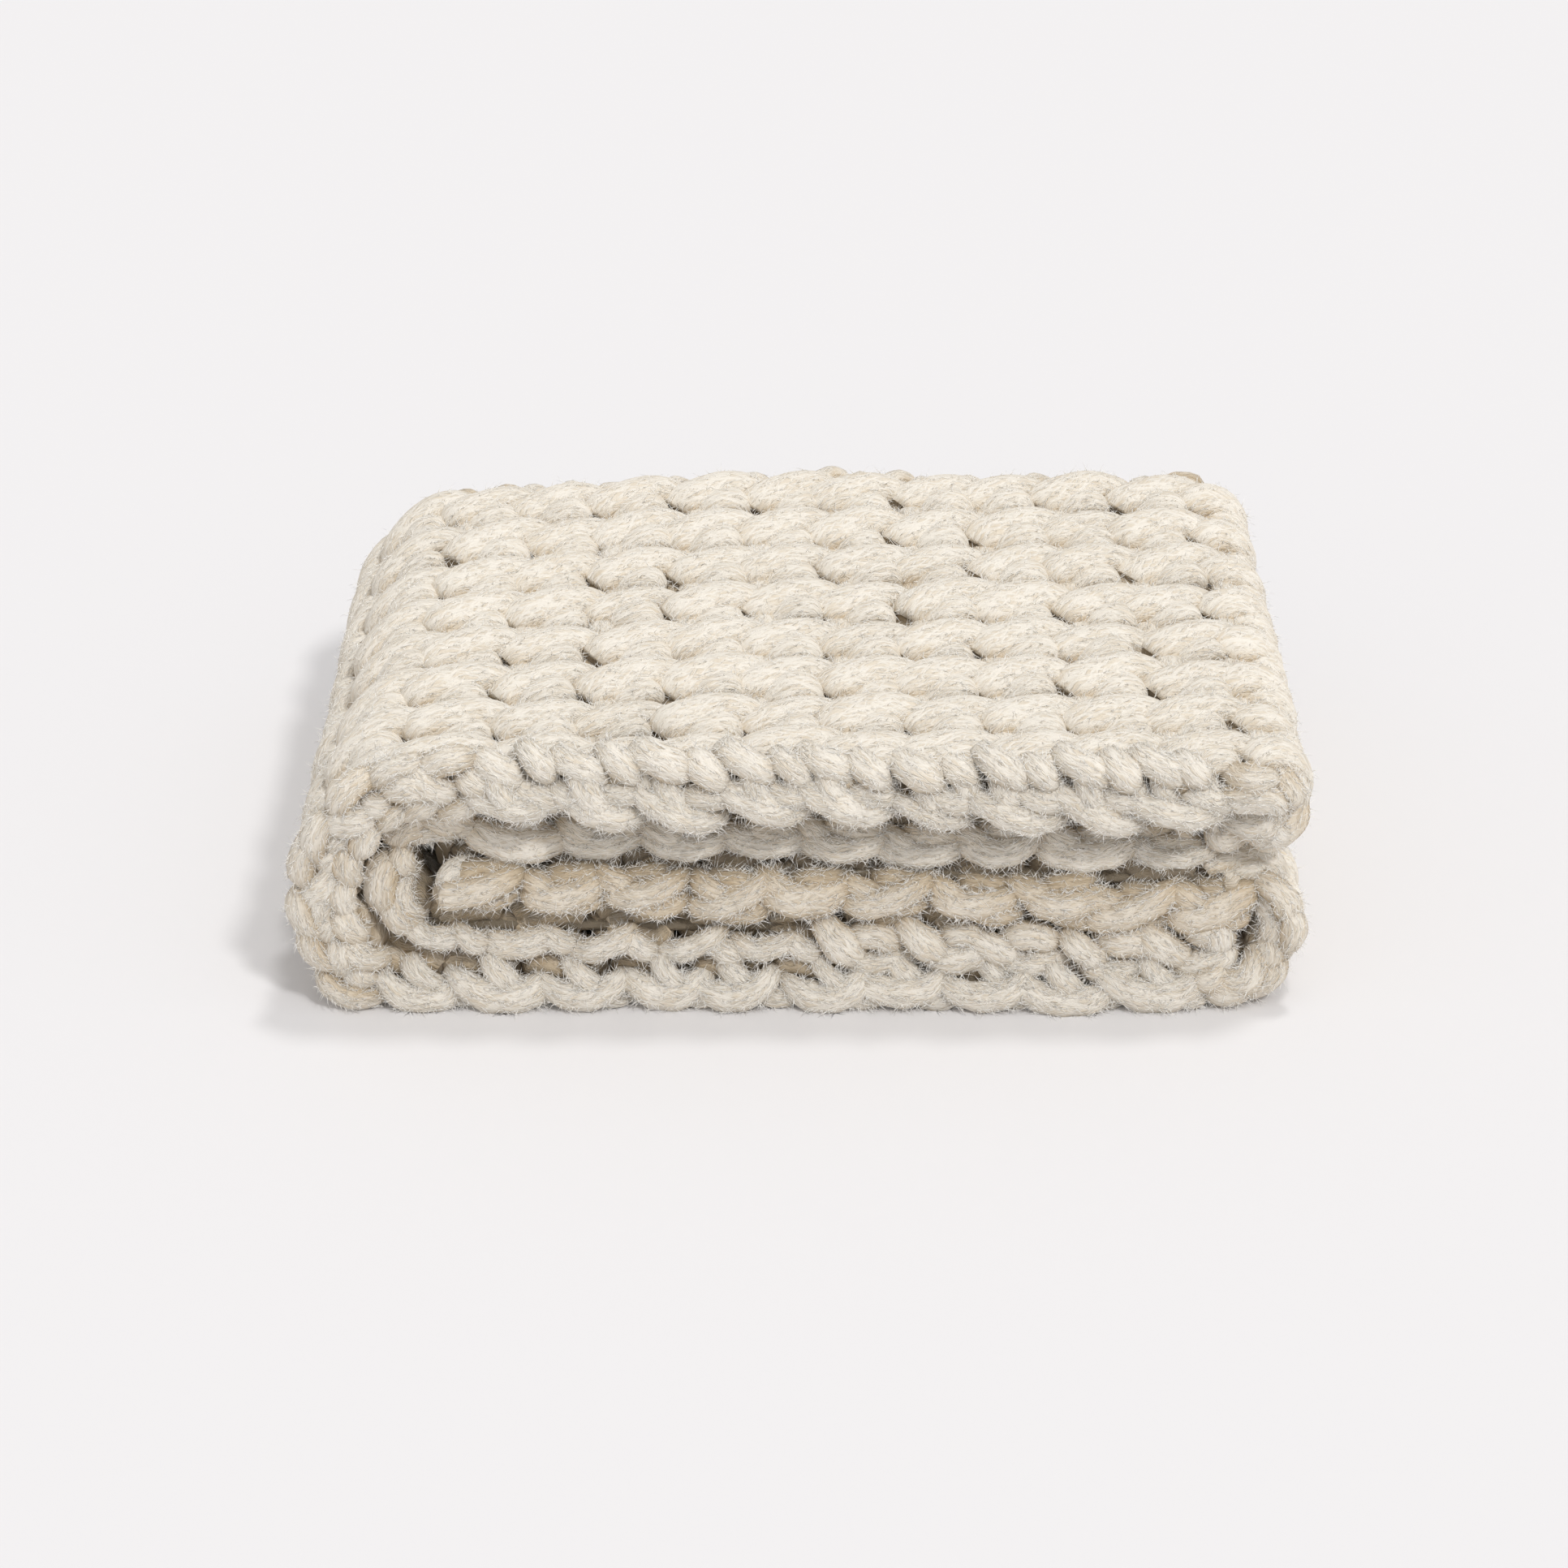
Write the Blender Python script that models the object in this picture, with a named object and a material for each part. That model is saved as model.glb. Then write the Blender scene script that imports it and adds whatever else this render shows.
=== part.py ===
"""A hand knit throw in thick garter stitch, folded into five layers and lying on a flat surface.

The throw is one strip of cloth. Seen from the front it folds back and forth in X and Z, and it is
as deep in Y as the strip is wide. Rows of stitches run along the strip, ridges lie side by side in Y.
Metres, +Z up, origin at the bottom centre. The front edge faces -Y.
"""
import math

import bmesh
import bpy

# Driving dimensions
STITCH_COUNT = 58          # stitches along the strip, from one free end to the other
RIDGE_COUNT = 9            # garter ridges across the strip, two rows each
DEPTH = 0.322              # width of the strip over its edge chains
STEPS_PER_STITCH = 4       # mesh stations in one stitch
LOFT = 0.05                # the stack stands this much higher at the back than at the front

# Stitch relief
RIDGE_RELIEF = 0.0052      # valley depth between two ridges
CREST_WAVE = 0.0042        # side to side swing of a ridge's crest
STITCH_BUMP = 0.0016       # rise and fall of a crest in each stitch
HOLE_RELIEF = 0.0022       # extra depth of the small hole beside each stitch

# Edge chains along the front and back
EDGE_BAND = 0.021          # from the edge's nose to the full thickness of the cloth
EDGE_SHOULDER = 0.0045     # from the nose to the shoulder of the chain
EDGE_THICKNESS = 0.0165    # a chain lobe, thinner than the cloth
LOBE_OUT = 0.0034          # how far a lobe swells past the mean edge
LOBE_TILT = 0.0024         # how far a lobe climbs across the edge

# Free ends
END_THINNING = 0.5         # share of the thickness at the last station
END_LIFT = 0.0035          # the upper free end turns up inside its fold
END_LIFT_LENGTH = 0.04

# A row for each layer, bottom to top: centre height at the left, middle and right, and thickness
LAYERS = {
    "bottom": {"left": 0.0105, "middle": 0.0105, "right": 0.0105, "thick": 0.0210},
    "second": {"left": 0.0345, "middle": 0.0340, "right": 0.0325, "thick": 0.0200},
    "third":  {"left": 0.0600, "middle": 0.0580, "right": 0.0555, "thick": 0.0200},
    "fourth": {"left": 0.0840, "middle": 0.0825, "right": 0.0800, "thick": 0.0200},
    "top":    {"left": 0.1070, "middle": 0.1080, "right": 0.1070, "thick": 0.0230},
}

# A row for each fold: side, X where the layers turn, reach of the centre line past it, thickness
# at the bulge, and squareness, where 2 is an ellipse and more is squarer
FOLDS = {
    "lower right": {"side": "right", "turn": 0.1880, "reach": 0.0200, "thick": 0.0215, "square": 2.2},
    "big left":    {"side": "left", "turn": -0.1710, "reach": 0.0340, "thick": 0.0300, "square": 2.1},
    "upper right": {"side": "right", "turn": 0.1935, "reach": 0.0145, "thick": 0.0225, "square": 2.0},
    "inner left":  {"side": "left", "turn": -0.1545, "reach": 0.0220, "thick": 0.0200, "square": 2.5},
}

# The way along the strip, from its lower free end to its upper one
ROUTE = ["third", "lower right", "bottom", "big left", "top", "upper right", "fourth", "inner left", "second"]
SHOWN = {"lower right", "big left", "top", "upper right"}
FREE_END_LEFT = -0.1590    # where the third layer starts
FREE_END_RIGHT = 0.1840    # where the second layer stops

CREAM = (0.82, 0.78, 0.70, 1.0)


def clear_scene():
    for obj in list(bpy.data.objects):
        bpy.data.objects.remove(obj, do_unlink=True)


def ease(share):
    return share * share * (3 - 2 * share)


def layer_height(layer, x, x_left, x_right):
    """Height of a layer's centre line, level at both ends."""
    share = (x - x_left) / (x_right - x_left)
    if share < 0.5:
        return layer["left"] + (layer["middle"] - layer["left"]) * ease(share * 2)
    return layer["middle"] + (layer["right"] - layer["middle"]) * ease(share * 2 - 1)


def layer_points(layer, x_from, x_to, steps=160):
    """Dense points (x, z, thickness) along one layer."""
    points = []
    for i in range(steps):
        x = x_from + (x_to - x_from) * i / steps
        z = layer_height(layer, x, min(x_from, x_to), max(x_from, x_to))
        points.append((x, z, layer["thick"]))
    return points


def fold_points(fold, layer_in, layer_out, steps=120):
    """Dense points (x, z, thickness) around one fold, from one layer's end to the next one's start."""
    column = fold["side"]
    z_in = layer_in[column]
    z_out = layer_out[column]
    outward = 1 if column == "right" else -1
    power = 2 / fold["square"]
    points = []
    for i in range(steps):
        angle = math.pi * i / steps
        bulge = math.sin(angle) ** power
        swing = math.copysign(abs(math.cos(angle)) ** power, math.cos(angle))
        x = fold["turn"] + outward * fold["reach"] * bulge
        z = (z_in + z_out) / 2 + (z_in - z_out) / 2 * swing
        flat_part = layer_in["thick"] + (layer_out["thick"] - layer_in["thick"]) * i / steps
        points.append((x, z, flat_part + (fold["thick"] - flat_part) * bulge))
    return points


def strip_points():
    """Dense points of the whole centre line, each with its thickness and whether it shows outside."""
    dense = []
    for place, name in enumerate(ROUTE):
        if name in FOLDS:
            part = fold_points(FOLDS[name], LAYERS[ROUTE[place - 1]], LAYERS[ROUTE[place + 1]])
        else:
            x_from = FOLDS[ROUTE[place - 1]]["turn"] if place else FREE_END_LEFT
            x_to = FOLDS[ROUTE[place + 1]]["turn"] if place < len(ROUTE) - 1 else FREE_END_RIGHT
            part = layer_points(LAYERS[name], x_from, x_to)
        dense += [(x, z, thick, name in SHOWN) for x, z, thick in part]
    return lift_free_end(dense)


def lift_free_end(dense):
    lifted = []
    last = len(dense) - 1
    for i, (x, z, thick, shown) in enumerate(dense):
        near = max(0.0, 1 - (FREE_END_RIGHT - x) / END_LIFT_LENGTH) if last - i < 160 else 0.0
        lifted.append((x, z + END_LIFT * ease(near), thick, shown))
    return lifted


def even_stations(dense):
    """Stations at even steps along the centre line, each with its normal, thickness and phase."""
    lengths = [0.0]
    for (xa, za, _, _), (xb, zb, _, _) in zip(dense, dense[1:]):
        lengths.append(lengths[-1] + math.hypot(xb - xa, zb - za))
    count = STITCH_COUNT * STEPS_PER_STITCH
    stations = []
    seat = 0
    for i in range(count + 1):
        along = lengths[-1] * i / count
        while seat < len(lengths) - 2 and lengths[seat + 1] < along:
            seat += 1
        share = (along - lengths[seat]) / (lengths[seat + 1] - lengths[seat])
        xa, za, thick_a, shown = dense[seat]
        xb, zb, thick_b, _ = dense[seat + 1]
        stations.append({
            "x": xa + (xb - xa) * share,
            "z": za + (zb - za) * share,
            "thick": thick_a + (thick_b - thick_a) * share,
            "shown": shown,
            "phase": 2 * math.pi * i / STEPS_PER_STITCH,
        })
    for i, here in enumerate(stations):
        before = stations[max(i - 1, 0)]
        after = stations[min(i + 1, count)]
        run = math.hypot(after["x"] - before["x"], after["z"] - before["z"])
        here["normal"] = (-(after["z"] - before["z"]) / run, (after["x"] - before["x"]) / run)
    for here in (stations[0], stations[-1]):
        here["thick"] *= END_THINNING
    return stations


def edge_lobe(station, side):
    """Swell and climb of the edge chain at a station, for the front (-1) or back (+1) edge."""
    phase = station["phase"] + (0 if side < 0 else math.pi / 2)
    return LOBE_OUT * math.cos(phase), LOBE_TILT * math.sin(phase)


def outer_face(station):
    """(y, height over the centre line) across the outer face, from front shoulder to back shoulder."""
    half = station["thick"] / 2
    chain = min(EDGE_THICKNESS / 2, half)
    front_out, front_climb = edge_lobe(station, -1)
    back_out, back_climb = edge_lobe(station, 1)
    y_edge = DEPTH / 2 - LOBE_OUT
    face = [(-y_edge - front_out + EDGE_SHOULDER, chain + front_climb)]
    if station["shown"]:
        face += ridge_profile(station, half)
    else:
        face += [(-DEPTH / 2 + EDGE_BAND, half), (DEPTH / 2 - EDGE_BAND, half)]
    face.append((y_edge + back_out - EDGE_SHOULDER, chain + back_climb))
    return face


def ridge_profile(station, half):
    """Four points for each ridge: valley, front flank, crest and back flank, with the stitch's wave."""
    room = DEPTH - 2 * EDGE_SHOULDER - 2 * LOBE_OUT
    pitch = room / RIDGE_COUNT
    profile = []
    for ridge in range(RIDGE_COUNT):
        phase = station["phase"] + ridge * math.pi / 7
        for quarter in range(4):
            if ridge == 0 and quarter == 0:
                continue
            crest = (1 - math.cos(math.pi * quarter / 2)) / 2
            y = -room / 2 + (ridge + quarter / 4) * pitch + CREST_WAVE * crest * math.sin(phase)
            hole = HOLE_RELIEF * (1 - crest) * (1 + math.cos(phase)) / 2
            rise = STITCH_BUMP * crest * math.cos(phase)
            profile.append((y, half - RIDGE_RELIEF * (1 - crest) - hole + rise - STITCH_BUMP))
    return profile


def ring_points(station):
    """One closed ring around the cloth at a station: outer face, back nose, inner face, front nose."""
    half = station["thick"] / 2
    chain = min(EDGE_THICKNESS / 2, half)
    front_out, front_climb = edge_lobe(station, -1)
    back_out, back_climb = edge_lobe(station, 1)
    y_edge = DEPTH / 2 - LOBE_OUT
    outer = outer_face(station)
    rest = [
        (y_edge + back_out, back_climb),
        (y_edge + back_out - EDGE_SHOULDER, back_climb - chain),
        (DEPTH / 2 - EDGE_BAND, -half),
        (-DEPTH / 2 + EDGE_BAND, -half),
        (-y_edge - front_out + EDGE_SHOULDER, front_climb - chain),
        (-y_edge - front_out, front_climb),
    ]
    nx, nz = station["normal"]
    placed = []
    for y, over in outer + rest:
        lofted = 1 + LOFT * (y / DEPTH + 0.5)
        placed.append((station["x"] + nx * over, y, max(0.0, (station["z"] + nz * over) * lofted)))
    return placed, len(outer)


def join_faces(bm, ring_a, count_a, ring_b, count_b):
    """Skin between two neighbouring rings, whose outer faces may have different numbers of points."""
    tail_a = ring_a[count_a - 1:] + ring_a[:1]
    tail_b = ring_b[count_b - 1:] + ring_b[:1]
    for i in range(len(tail_a) - 1):
        bm.faces.new((tail_a[i], tail_b[i], tail_b[i + 1], tail_a[i + 1]))
    i = 0
    j = 0
    while i < count_a - 1 or j < count_b - 1:
        even = count_a == count_b
        if even:
            bm.faces.new((ring_a[i], ring_b[j], ring_b[j + 1], ring_a[i + 1]))
            i += 1
            j += 1
        elif j == count_b - 1 or (i < count_a - 1 and ring_a[i + 1].co.y < ring_b[j + 1].co.y):
            bm.faces.new((ring_a[i], ring_b[j], ring_a[i + 1]))
            i += 1
        else:
            bm.faces.new((ring_a[i], ring_b[j], ring_b[j + 1]))
            j += 1


def knit_strip():
    """Mesh of the folded strip as one closed body."""
    bm = bmesh.new()
    previous = None
    first_ring = None
    for station in even_stations(strip_points()):
        points, count = ring_points(station)
        ring = [bm.verts.new(point) for point in points]
        if previous:
            join_faces(bm, previous[0], previous[1], ring, count)
        else:
            first_ring = ring
        previous = (ring, count)
    bm.faces.new(first_ring)
    bm.faces.new(previous[0])
    bmesh.ops.recalc_face_normals(bm, faces=bm.faces)
    bmesh.ops.triangulate(bm, faces=bm.faces)
    centre_on_origin(bm)
    return bm


def centre_on_origin(bm):
    xs = [vert.co.x for vert in bm.verts]
    ys = [vert.co.y for vert in bm.verts]
    middle = (-(min(xs) + max(xs)) / 2, -(min(ys) + max(ys)) / 2, 0)
    bmesh.ops.translate(bm, verts=bm.verts, vec=middle)


def yarn_material():
    material = bpy.data.materials.new("cream brushed yarn")
    material.use_nodes = True
    shader = material.node_tree.nodes["Principled BSDF"]
    shader.inputs["Base Color"].default_value = CREAM
    shader.inputs["Roughness"].default_value = 0.95
    shader.inputs["Metallic"].default_value = 0.0
    return material


def build():
    clear_scene()
    collection = bpy.data.collections.new("knit throw")
    bpy.context.scene.collection.children.link(collection)
    bm = knit_strip()
    mesh = bpy.data.meshes.new("throw")
    bm.to_mesh(mesh)
    bm.free()
    mesh.shade_smooth()
    mesh.materials.append(yarn_material())
    throw = bpy.data.objects.new("throw", mesh)
    collection.objects.link(throw)


build()
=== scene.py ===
import math

import bpy
import numpy as np
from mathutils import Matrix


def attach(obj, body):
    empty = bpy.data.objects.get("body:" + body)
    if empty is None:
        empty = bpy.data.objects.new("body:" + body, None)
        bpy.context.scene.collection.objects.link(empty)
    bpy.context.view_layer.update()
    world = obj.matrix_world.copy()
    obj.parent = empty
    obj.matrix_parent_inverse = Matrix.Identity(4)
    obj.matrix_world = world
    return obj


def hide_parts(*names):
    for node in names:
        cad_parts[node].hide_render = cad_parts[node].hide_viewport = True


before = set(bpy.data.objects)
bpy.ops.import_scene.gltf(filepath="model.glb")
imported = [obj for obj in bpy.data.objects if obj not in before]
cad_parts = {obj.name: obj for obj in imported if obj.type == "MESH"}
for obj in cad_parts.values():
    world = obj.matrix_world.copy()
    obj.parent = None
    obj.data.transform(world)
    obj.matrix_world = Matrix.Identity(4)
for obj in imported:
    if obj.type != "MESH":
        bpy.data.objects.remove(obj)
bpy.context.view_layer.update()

mm = 0.001
tiny = 1e-9
lowest = 0.0                  # mm, the surface that the throw rests on
yarnScale = 100.0             # mm of yarn for one unit of the yarnRun map
underScale = 20.0             # mm under the face for one unit of the map that carries the depth of the painted shade


# Colours are picked as sRGB hex and used as linear light
def linearColour(hexText):
    channels = [int(hexText[i:i + 2], 16) / 255 for i in (1, 3, 5)]
    return tuple(c / 12.92 if c < 0.04045 else ((c + 0.055) / 1.055) ** 2.4 for c in channels) + (1.0,)


# Adds one node with its settings and links; inputs that are sockets are linked, the rest are values.
# i0, i1 and so on are inputs by their number.
def addNode(tree, kind, settings=None, **inputs):
    node = tree.nodes.new(kind)
    for name, value in (settings or {}).items():
        setattr(node, name, value)
    for name, value in inputs.items():
        socket = node.inputs[int(name[1:])] if name[0] == "i" and name[1:].isdigit() else node.inputs[name]
        if isinstance(value, bpy.types.NodeSocket):
            tree.links.new(value, socket)
        else:
            socket.default_value = value
    return node


# Takes a value from one range to another, straight or eased
def addRange(tree, value, source, target=(0.0, 1.0), eased=False):
    settings = {"interpolation_type": "SMOOTHSTEP"} if eased else {}
    node = addNode(tree, "ShaderNodeMapRange", settings, Value=value)
    for name, number in zip(("From Min", "From Max", "To Min", "To Max"), source + target):
        node.inputs[name].default_value = number
    return node.outputs["Result"]


# The way the strip lies, in millimetres. Side A of the strip is up on the top layer.
strip = {
    "stitches": 58,
    "depth": 322.0,
    # the back of the stack stands higher than its front by this share of its height. The share itself grows
    # from a place at the left over a length, and is this much of its full value before that.
    "loft": 0.05,
    "loftRun": (-225.0, 190.0, -0.5),
    # centre height at the left, middle and right, thickness, droop of the long edges, push to the front
    "layers": {
        "bottom": (10.5, 10.5, 10.5, 21.0, 0.10, 1.0),
        "second": (34.5, 34.0, 32.5, 20.0, 0.60, -5.0),
        "third": (60.0, 58.0, 55.5, 20.0, 0.25, -8.5),
        "fourth": (84.0, 82.5, 80.0, 20.0, 0.80, -15.0),
        "top": (105.5, 108.0, 107.5, 23.0, 1.00, 0.0),
    },
    # side, where the layers before and after turn, reach past it, thickness, squareness
    "folds": {
        "lower right": (1, 188.0, 188.0, 20.0, 21.5, 2.2),
        "big left": (-1, -172.0, -156.0, 41.0, 30.0, 2.1),
        "upper right": (1, 193.5, 193.5, 14.5, 22.5, 2.0),
        "inner left": (-1, -154.5, -154.5, 22.0, 20.0, 2.5),
    },
    "route": ["third", "lower right", "bottom", "big left", "top",
              "upper right", "fourth", "inner left", "second"],
    "outside": ("lower right", "big left", "top", "upper right"),      # parts that are seen from outside
    "freeEnds": (-157.0, 187.0),
    "endLift": (3.5, 40.0),   # the free end inside the lower right fold turns up, over this length
    "curl": 11.0,             # radius of the drooping long edges
    "mostTurn": 1.9,          # radians that they turn at most
    "partPoints": 400,        # points of the centre line on each part, and in all once they are even
    "linePoints": 6000,
    "evenOut": {"way": 20, "droop": 60, "push": 90},      # points of the line on both sides of a place
}


def ease(share):
    share = np.clip(share, 0, 1)
    return share * share * (3 - 2 * share)


def blurred(values, width):
    window = 2 * width + 1
    return np.convolve(np.pad(values, width, mode="edge"), np.ones(window) / window, mode="valid")


def unit(vectors, least=tiny):
    return vectors / (np.linalg.norm(vectors, axis=1, keepdims=True) + least)


# Centre line of the strip as dense points, with what belongs to each point
def stripLine():
    route, layers, folds = strip["route"], strip["layers"], strip["folds"]
    runs = []
    for place, name in enumerate(route):
        share = np.linspace(0, 1, strip["partPoints"], endpoint=False)
        if name in folds:
            side, turnIn, turnOut, reach, thick, square = folds[name]
            column = 2 if side > 0 else 0
            before, after = layers[route[place - 1]], layers[route[place + 1]]
            bulge = np.sin(math.pi * share) ** (2 / square)
            swing = np.cos(math.pi * share)
            swing = np.sign(swing) * np.abs(swing) ** (2 / square)
            x = turnIn + (turnOut - turnIn) * share + side * reach * bulge
            z = (before[column] + after[column]) / 2 + (before[column] - after[column]) / 2 * swing
            flat, droop, push = (before[i] + (after[i] - before[i]) * share for i in (3, 4, 5))
            wide = flat + (thick - flat) * bulge
        else:
            left, middle, right = layers[name][:3]
            start = folds[route[place - 1]][2] if place else strip["freeEnds"][0]
            stop = folds[route[place + 1]][1] if place < len(route) - 1 else strip["freeEnds"][1]
            x = start + (stop - start) * share
            across = (x - min(start, stop)) / abs(stop - start)
            z = np.where(across < 0.5, left + (middle - left) * ease(across * 2),
                         middle + (right - middle) * ease(across * 2 - 1))
            wide, droop, push = (np.full_like(x, value) for value in layers[name][3:])
            if place == len(route) - 1:
                rise, length = strip["endLift"]
                z = z + rise * ease(1 - (strip["freeEnds"][1] - x) / length)
        runs.append(np.stack([x, z, wide, droop, push, np.full_like(x, place)], axis=1))
    line = np.concatenate(runs)
    step = np.hypot(np.diff(line[:, 0]), np.diff(line[:, 1]))
    along = np.concatenate([[0], np.cumsum(step)])
    even = np.linspace(0, along[-1], strip["linePoints"])
    x, z, wide, droop, push = (np.interp(even, along, line[:, i]) for i in range(5))
    part = line[np.clip(np.searchsorted(along, even), 0, len(line) - 1), 5].astype(int)
    evenOut = strip["evenOut"]
    dx = blurred(np.gradient(x, even), evenOut["way"])
    dz = blurred(np.gradient(z, even), evenOut["way"])
    size = np.hypot(dx, dz)
    return {"along": even, "x": x, "z": z, "thick": wide, "part": part, "nx": -dz / size, "nz": dx / size,
            "droop": blurred(droop, evenOut["droop"]), "push": blurred(push, evenOut["push"])}


line = stripLine()
stripLength = line["along"][-1]
stitchWidth = stripLength / strip["stitches"]
print("strip is", round(stripLength), "mm long, a stitch is", round(stitchWidth, 1), "mm")


# Values of the centre line at places along the strip
def lineAt(along, *keys):
    return [np.interp(along, line["along"], line[key]) for key in keys]


# Name of the layer or fold that a stitch lies on
def partAt(stitch):
    seat = np.searchsorted(line["along"], (stitch + 0.5) * stitchWidth)
    return strip["route"][line["part"][min(seat, len(line["along"]) - 1)]]


# How much higher than drawn the stack stands at a place
def loftAt(x, across):
    start, length, least = strip["loftRun"]
    share = (1 - least) * ease((x - start) / length) + least
    return 1 + strip["loft"] * (across / strip["depth"] + 0.5) * share


# From strip places (along, across, over) to the row frame, in millimetres. The long edges curl down by
# their droop.
def onStrip(along, across, over):
    x, z, nx, nz, droop, push = lineAt(along, "x", "z", "nx", "nz", "droop", "push")
    flatHalf = strip["depth"] / 2 - strip["curl"]
    beyond = np.maximum(np.abs(across) - flatHalf, 0)
    turn = np.clip((np.abs(across) - flatHalf) / strip["curl"], 0, strip["mostTurn"]) * np.sqrt(droop)
    curled = turn > tiny
    safe = np.where(curled, turn, 1)
    out = np.minimum(np.abs(across), flatHalf) + beyond * np.where(curled, np.sin(safe) / safe, 1)
    drop = beyond * np.where(curled, (1 - np.cos(safe)) / safe, 0) * np.abs(nz)
    y = np.sign(across) * (out + over * np.sin(turn) * nz) - push * (0.5 - across / strip["depth"])
    keep = 1 - (1 - np.cos(turn)) * np.abs(nz)
    return np.stack([x + nx * over * keep, y, (z + nz * over * keep - drop) * loftAt(x, across)], axis=-1)


def outward(along, across, over):
    return onStrip(along, across, over + 0.5) - onStrip(along, across, over - 0.5)


# Section and ends of every strand
strand = {
    "squareness": 0.85,       # below 1 the oval section is a little boxy
    "girth": 46.0,            # mm around, for the pattern
    "endBulge": 0.6,          # share of the half depth that a closed end stands out
    "mostUnder": 1.2,         # half depths that a strand's flank counts as lower than its top for its painted shade, at most
}


# A mesh object from points in millimetres, the corners of all faces in one row and each face's corner count
def addPiece(name, points, corners, sizes, material):
    points[:, 2] = np.maximum(points[:, 2], lowest)
    mesh = bpy.data.meshes.new(name)
    mesh.vertices.add(len(points))
    mesh.vertices.foreach_set("co", (points * mm).astype(np.float32).ravel())
    mesh.loops.add(len(corners))
    mesh.loops.foreach_set("vertex_index", corners.astype(np.int32))
    mesh.polygons.add(len(sizes))
    mesh.polygons.foreach_set("loop_start", (np.cumsum(sizes) - sizes).astype(np.int32))
    mesh.update(calc_edges=True)
    mesh.materials.append(material)
    piece = bpy.data.objects.new(name, mesh)
    bpy.context.scene.collection.objects.link(piece)
    return piece


# Collects tubes and makes them one mesh. Its map yarnRun goes along and around each strand, and its second
# map says how deep in the knit a place counts for the painted shade of the wool.
class YarnMesh:
    def __init__(self, fibres=0.0):
        self.points, self.faces, self.uvs, self.depths, self.count = [], [], [], [], 0
        self.fibres, self.roots = fibres, []

    def addTube(self, centre, outside, wide, deep, sides, start=0.0, sunk=0.0):
        ringCount = len(centre)
        tangent = unit(np.gradient(centre, axis=0))
        aside = unit(np.cross(tangent, outside))
        up = np.cross(aside, tangent)
        angle = np.linspace(0, 2 * math.pi, sides, endpoint=False) - math.pi / 2
        wide = np.broadcast_to(wide, ringCount)[:, None, None]
        deep = np.broadcast_to(deep, ringCount)[:, None, None]
        level, upright = (np.sign(swing) * np.abs(swing) ** strand["squareness"]
                          for swing in (np.cos(angle), np.sin(angle)))
        ring = (centre[:, None] + aside[:, None] * level[None, :, None] * wide
                + up[:, None] * upright[None, :, None] * deep)
        self.points.append(ring.reshape(-1, 3))
        step = np.linalg.norm(np.diff(centre, axis=0), axis=1)
        if self.fibres:
            self.roots.append(self.fibreRoots(ring, centre, tangent, int(step.sum() * self.fibres)))
        length = np.concatenate([[0], np.cumsum(step)]) + start
        i, j = np.meshgrid(np.arange(ringCount - 1), np.arange(sides), indexing="ij")
        nextI, nextJ = (i + 1) % ringCount, (j + 1) % sides
        quads = np.stack([i * sides + j, i * sides + nextJ, nextI * sides + nextJ, nextI * sides + j],
                         axis=-1)
        self.faces.append(quads.reshape(-1, 4) + self.count)
        low, high = length[i], length[i + 1]
        left, right = j / sides * strand["girth"], (j + 1) / sides * strand["girth"]
        self.uvs.append(np.stack([low, left, low, right, high, right, high, left], axis=-1).reshape(-1, 2))
        # Painted shade: a strand's flanks count deeper than its top, so the wool paints them darker
        flank = np.minimum(1 - np.sin(angle), strand["mostUnder"])
        under = np.broadcast_to(sunk, ringCount)[:, None] + deep[:, :, 0] * flank[None, :]
        self.depths.append(under.ravel())
        first = self.count
        self.count += ringCount * sides
        for seat, end in ((0, 0), (ringCount - 1, 1)):
            bulge = tangent[seat] * (1 if end else -1) * deep[seat, 0, 0] * strand["endBulge"]
            self.addCap(ring[seat], first + seat * sides, end, length[seat], bulge)
            self.depths.append(under[seat].mean(keepdims=True))

    # Random places on a tube's skin, with the way out and the yarn's way there
    def fibreRoots(self, ring, centre, tangent, amount):
        chance = np.random.default_rng(self.count)
        seat = chance.uniform(1, len(centre) - 2.001, amount)
        side = chance.integers(0, ring.shape[1], amount)
        low = seat.astype(int)
        share = (seat - low)[:, None]
        skin = ring[low, side] * (1 - share) + ring[low + 1, side] * share
        core = centre[low] * (1 - share) + centre[low + 1] * share
        return np.concatenate([skin, skin - core, tangent[low]], axis=1)

    # Closes a tube's end with a point in front of its middle, so no open edge is left
    def addCap(self, ring, first, end, length, bulge):
        sides = len(ring)
        self.points.append((ring.mean(axis=0) + bulge)[None])
        middle = self.count
        j = np.arange(sides)
        nextJ = (j + 1) % sides
        pair = (first + j, first + nextJ) if end else (first + nextJ, first + j)
        self.faces.append(np.stack([pair[0], pair[1], np.full(sides, middle), np.full(sides, -1)], axis=-1))
        self.uvs.append(np.tile([length, 0.0], (sides * 3, 1)))
        self.count += 1

    def toObject(self, name, material):
        faces = np.concatenate(self.faces)
        corners = faces[faces >= 0]
        sizes = np.where(faces[:, 3] < 0, 3, 4)
        piece = addPiece(name, np.concatenate(self.points), corners, sizes, material)
        mesh = piece.data
        runMap = mesh.uv_layers.new(name="yarnRun")
        runMap.data.foreach_set("uv", (np.concatenate(self.uvs) / yarnScale).astype(np.float32).ravel())
        depth = np.concatenate(self.depths)[corners] / underScale
        depthMap = mesh.uv_layers.new(name="underFace")
        depthMap.data.foreach_set("uv", np.stack([depth, depth * 0], axis=1).astype(np.float32).ravel())
        mesh.polygons.foreach_set("use_smooth", np.ones(len(faces), dtype=bool))
        mesh.validate()
        return piece
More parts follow.
